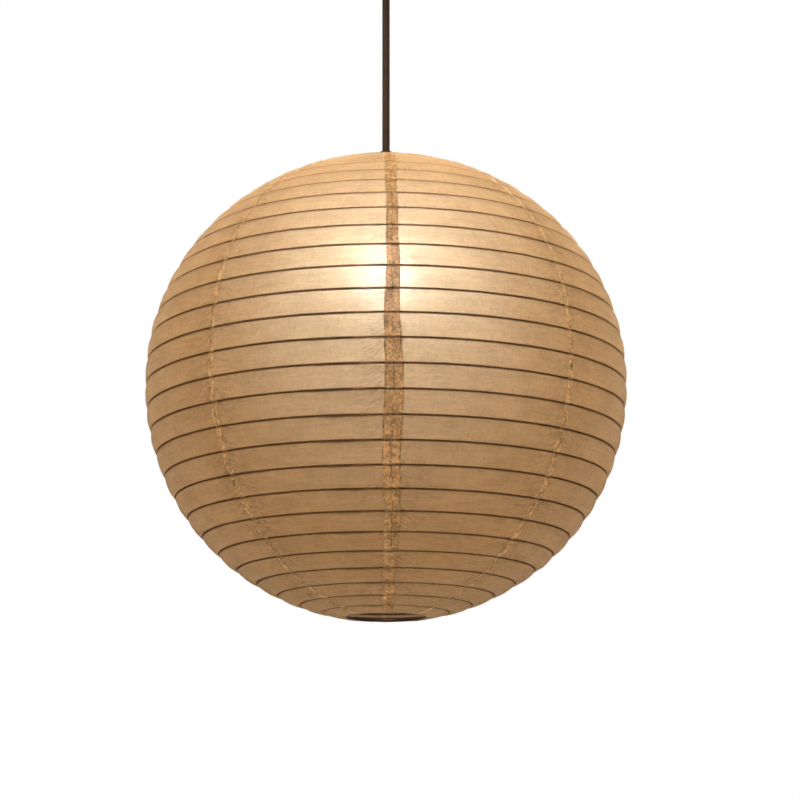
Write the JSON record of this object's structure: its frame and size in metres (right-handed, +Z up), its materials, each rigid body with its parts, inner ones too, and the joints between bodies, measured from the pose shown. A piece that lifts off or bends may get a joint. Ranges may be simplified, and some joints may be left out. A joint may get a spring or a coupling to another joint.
{
  "type": "paper lantern",
  "caption": "Round ribbed paper lantern shade on a short corded pendant with lampholder, bulb, sprung wire expander and ceiling canopy.",
  "frame": {"origin": "centre of the ceiling face of the crossbar, on the cord axis", "axes": "+Z up along the cord, away from the lantern; -Y is the front, where one paper seam faces the viewer"},
  "size_m": [0.4064, 0.4064, 0.5901],
  "materials": {
    "shade_paper": "matte, fibrous",
    "hoop_wire": "satin",
    "sprung_wire": "satin",
    "zinc_steel": "satin",
    "black_plastic": "satin",
    "canopy_enamel": "satin",
    "cord_sheath": "matte",
    "white_ceramic": "satin",
    "contact_brass": "satin",
    "bulb_aluminium": "satin",
    "frosted_glass": "frosted",
    "stem_glass": "clear"
  },
  "bodies": {
    "ceiling_fitting": {"ceiling_crossbar": "zinc_steel", "canopy_cup": "canopy_enamel", "canopy_screw_left": "zinc_steel", "canopy_screw_right": "zinc_steel", "cord_grip": "black_plastic", "grip_nut": "zinc_steel", "cord_tail": "cord_sheath", "terminal_block": "white_ceramic"},
    "pendant": {"cord": "cord_sheath", "cord_bushing": "black_plastic", "lampholder_cap": "black_plastic", "lampholder_body": "black_plastic", "socket_shell": "contact_brass", "socket_insulator": "white_ceramic", "socket_contact": "contact_brass", "expander_frame": "sprung_wire", "top_ring": "hoop_wire", "paper_gore_1": "shade_paper", "paper_gore_2": "shade_paper", "paper_gore_3": "shade_paper", "paper_gore_4": "shade_paper", "paper_gore_5": "shade_paper", "paper_gore_6": "shade_paper", "paper_gore_7": "shade_paper", "paper_gore_8": "shade_paper"},
    "shade_bottom": {"bottom_ring": "hoop_wire"},
    "bulb": {"bulb_globe": "frosted_glass", "bulb_base": "bulb_aluminium", "bulb_tip": "contact_brass", "bulb_stem": "stem_glass"},
    "retaining_ring": {"shade_ring": "black_plastic"},
    "leg_right": {"expander_leg_right": "sprung_wire"},
    "leg_left": {"expander_leg_left": "sprung_wire"},
    "hoop_01": {"rib_hoop_01": "hoop_wire"},
    "hoop_02": {"rib_hoop_02": "hoop_wire"},
    "hoop_03": {"rib_hoop_03": "hoop_wire"},
    "hoop_04": {"rib_hoop_04": "hoop_wire"},
    "hoop_05": {"rib_hoop_05": "hoop_wire"},
    "hoop_06": {"rib_hoop_06": "hoop_wire"},
    "hoop_07": {"rib_hoop_07": "hoop_wire"},
    "hoop_08": {"rib_hoop_08": "hoop_wire"},
    "hoop_09": {"rib_hoop_09": "hoop_wire"},
    "hoop_10": {"rib_hoop_10": "hoop_wire"},
    "hoop_11": {"rib_hoop_11": "hoop_wire"},
    "hoop_12": {"rib_hoop_12": "hoop_wire"},
    "hoop_13": {"rib_hoop_13": "hoop_wire"},
    "hoop_14": {"rib_hoop_14": "hoop_wire"},
    "hoop_15": {"rib_hoop_15": "hoop_wire"},
    "hoop_16": {"rib_hoop_16": "hoop_wire"},
    "hoop_17": {"rib_hoop_17": "hoop_wire"},
    "hoop_18": {"rib_hoop_18": "hoop_wire"},
    "hoop_19": {"rib_hoop_19": "hoop_wire"},
    "hoop_20": {"rib_hoop_20": "hoop_wire"},
    "hoop_21": {"rib_hoop_21": "hoop_wire"},
    "hoop_22": {"rib_hoop_22": "hoop_wire"},
    "hoop_23": {"rib_hoop_23": "hoop_wire"},
    "hoop_24": {"rib_hoop_24": "hoop_wire"},
    "hoop_25": {"rib_hoop_25": "hoop_wire"},
    "hoop_26": {"rib_hoop_26": "hoop_wire"},
    "hoop_27": {"rib_hoop_27": "hoop_wire"}
  },
  "joints": [
    {"name": "pendant_swing", "type": "hinge", "parent": "ceiling_fitting", "child": "pendant", "pos_m": [0, 0, -0.0386], "axis": [0, 1, 0], "range_deg": [-12, 12]},
    {"name": "shade_fold", "type": "slide", "parent": "pendant", "child": "shade_bottom", "axis": [0, 0, 1], "range_m": [0, 0.352], "deforming": ["paper_gore_1", "paper_gore_2", "paper_gore_3", "paper_gore_4", "paper_gore_5", "paper_gore_6", "paper_gore_7", "paper_gore_8"]},
    {"name": "hoop_01_lift", "type": "slide", "parent": "pendant", "child": "hoop_01", "axis": [0, 0, 1], "range_m": [0, 0.00423]},
    {"name": "hoop_02_lift", "type": "slide", "parent": "pendant", "child": "hoop_02", "axis": [0, 0, 1], "range_m": [0, 0.00962]},
    {"name": "hoop_03_lift", "type": "slide", "parent": "pendant", "child": "hoop_03", "axis": [0, 0, 1], "range_m": [0, 0.01666]},
    {"name": "hoop_04_lift", "type": "slide", "parent": "pendant", "child": "hoop_04", "axis": [0, 0, 1], "range_m": [0, 0.02532]},
    {"name": "hoop_05_lift", "type": "slide", "parent": "pendant", "child": "hoop_05", "axis": [0, 0, 1], "range_m": [0, 0.03555]},
    {"name": "hoop_06_lift", "type": "slide", "parent": "pendant", "child": "hoop_06", "axis": [0, 0, 1], "range_m": [0, 0.04719]},
    {"name": "hoop_07_lift", "type": "slide", "parent": "pendant", "child": "hoop_07", "axis": [0, 0, 1], "range_m": [0, 0.06021]},
    {"name": "hoop_08_lift", "type": "slide", "parent": "pendant", "child": "hoop_08", "axis": [0, 0, 1], "range_m": [0, 0.07443]},
    {"name": "hoop_09_lift", "type": "slide", "parent": "pendant", "child": "hoop_09", "axis": [0, 0, 1], "range_m": [0, 0.0898]},
    {"name": "hoop_10_lift", "type": "slide", "parent": "pendant", "child": "hoop_10", "axis": [0, 0, 1], "range_m": [0, 0.10596]},
    {"name": "hoop_11_lift", "type": "slide", "parent": "pendant", "child": "hoop_11", "axis": [0, 0, 1], "range_m": [0, 0.12297]},
    {"name": "hoop_12_lift", "type": "slide", "parent": "pendant", "child": "hoop_12", "axis": [0, 0, 1], "range_m": [0, 0.14058]},
    {"name": "hoop_13_lift", "type": "slide", "parent": "pendant", "child": "hoop_13", "axis": [0, 0, 1], "range_m": [0, 0.15852]},
    {"name": "hoop_14_lift", "type": "slide", "parent": "pendant", "child": "hoop_14", "axis": [0, 0, 1], "range_m": [0, 0.17661]},
    {"name": "hoop_15_lift", "type": "slide", "parent": "pendant", "child": "hoop_15", "axis": [0, 0, 1], "range_m": [0, 0.19469]},
    {"name": "hoop_16_lift", "type": "slide", "parent": "pendant", "child": "hoop_16", "axis": [0, 0, 1], "range_m": [0, 0.21253]},
    {"name": "hoop_17_lift", "type": "slide", "parent": "pendant", "child": "hoop_17", "axis": [0, 0, 1], "range_m": [0, 0.23002]},
    {"name": "hoop_18_lift", "type": "slide", "parent": "pendant", "child": "hoop_18", "axis": [0, 0, 1], "range_m": [0, 0.2469]},
    {"name": "hoop_19_lift", "type": "slide", "parent": "pendant", "child": "hoop_19", "axis": [0, 0, 1], "range_m": [0, 0.26314]},
    {"name": "hoop_20_lift", "type": "slide", "parent": "pendant", "child": "hoop_20", "axis": [0, 0, 1], "range_m": [0, 0.27847]},
    {"name": "hoop_21_lift", "type": "slide", "parent": "pendant", "child": "hoop_21", "axis": [0, 0, 1], "range_m": [0, 0.29272]},
    {"name": "hoop_22_lift", "type": "slide", "parent": "pendant", "child": "hoop_22", "axis": [0, 0, 1], "range_m": [0, 0.30569]},
    {"name": "hoop_23_lift", "type": "slide", "parent": "pendant", "child": "hoop_23", "axis": [0, 0, 1], "range_m": [0, 0.31742]},
    {"name": "hoop_24_lift", "type": "slide", "parent": "pendant", "child": "hoop_24", "axis": [0, 0, 1], "range_m": [0, 0.32765]},
    {"name": "hoop_25_lift", "type": "slide", "parent": "pendant", "child": "hoop_25", "axis": [0, 0, 1], "range_m": [0, 0.33635]},
    {"name": "hoop_26_lift", "type": "slide", "parent": "pendant", "child": "hoop_26", "axis": [0, 0, 1], "range_m": [0, 0.3434]},
    {"name": "hoop_27_lift", "type": "slide", "parent": "pendant", "child": "hoop_27", "axis": [0, 0, 1], "range_m": [0, 0.34881]},
    {"name": "leg_right_pinch", "type": "hinge", "parent": "pendant", "child": "leg_right", "pos_m": [0.0295, 0, -0.21], "axis": [0, 1, 0], "range_deg": [0, 0.52]},
    {"name": "leg_left_pinch", "type": "hinge", "parent": "pendant", "child": "leg_left", "pos_m": [-0.0295, 0, -0.21], "axis": [0, -1, 0], "range_deg": [0, 0.52]},
    {"name": "bulb_unscrew", "type": "hinge", "parent": "pendant", "child": "bulb", "pos_m": [0, 0, -0.256], "axis": [0, 0, -1], "range_deg": [0, 1080]},
    {"name": "shade_ring_unscrew", "type": "hinge", "parent": "pendant", "child": "retaining_ring", "pos_m": [0, 0, -0.2247], "axis": [0, 0, -1], "range_deg": [0, 1080]}
  ],
  "couplings": [
    {"joint": "hoop_01_lift", "follows": "shade_fold", "ratio": 0.01061},
    {"joint": "hoop_02_lift", "follows": "shade_fold", "ratio": 0.02591},
    {"joint": "hoop_03_lift", "follows": "shade_fold", "ratio": 0.04591},
    {"joint": "hoop_04_lift", "follows": "shade_fold", "ratio": 0.07051},
    {"joint": "hoop_05_lift", "follows": "shade_fold", "ratio": 0.09956},
    {"joint": "hoop_06_lift", "follows": "shade_fold", "ratio": 0.13263},
    {"joint": "hoop_07_lift", "follows": "shade_fold", "ratio": 0.16964},
    {"joint": "hoop_08_lift", "follows": "shade_fold", "ratio": 0.21002},
    {"joint": "hoop_09_lift", "follows": "shade_fold", "ratio": 0.25368},
    {"joint": "hoop_10_lift", "follows": "shade_fold", "ratio": 0.29959},
    {"joint": "hoop_11_lift", "follows": "shade_fold", "ratio": 0.34793},
    {"joint": "hoop_12_lift", "follows": "shade_fold", "ratio": 0.39796},
    {"joint": "hoop_13_lift", "follows": "shade_fold", "ratio": 0.44891},
    {"joint": "hoop_14_lift", "follows": "shade_fold", "ratio": 0.5003},
    {"joint": "hoop_15_lift", "follows": "shade_fold", "ratio": 0.55169},
    {"joint": "hoop_16_lift", "follows": "shade_fold", "ratio": 0.60235},
    {"joint": "hoop_17_lift", "follows": "shade_fold", "ratio": 0.65204},
    {"joint": "hoop_18_lift", "follows": "shade_fold", "ratio": 0.70001},
    {"joint": "hoop_19_lift", "follows": "shade_fold", "ratio": 0.74615},
    {"joint": "hoop_20_lift", "follows": "shade_fold", "ratio": 0.78968},
    {"joint": "hoop_21_lift", "follows": "shade_fold", "ratio": 0.83017},
    {"joint": "hoop_22_lift", "follows": "shade_fold", "ratio": 0.86701},
    {"joint": "hoop_23_lift", "follows": "shade_fold", "ratio": 0.90034},
    {"joint": "hoop_24_lift", "follows": "shade_fold", "ratio": 0.92939},
    {"joint": "hoop_25_lift", "follows": "shade_fold", "ratio": 0.95412},
    {"joint": "hoop_26_lift", "follows": "shade_fold", "ratio": 0.97416},
    {"joint": "hoop_27_lift", "follows": "shade_fold", "ratio": 0.98953},
    {"joint": "leg_right_pinch", "follows": "shade_fold", "rad_per_m": 0.02479},
    {"joint": "leg_left_pinch", "follows": "shade_fold", "rad_per_m": 0.02479}
  ]
}
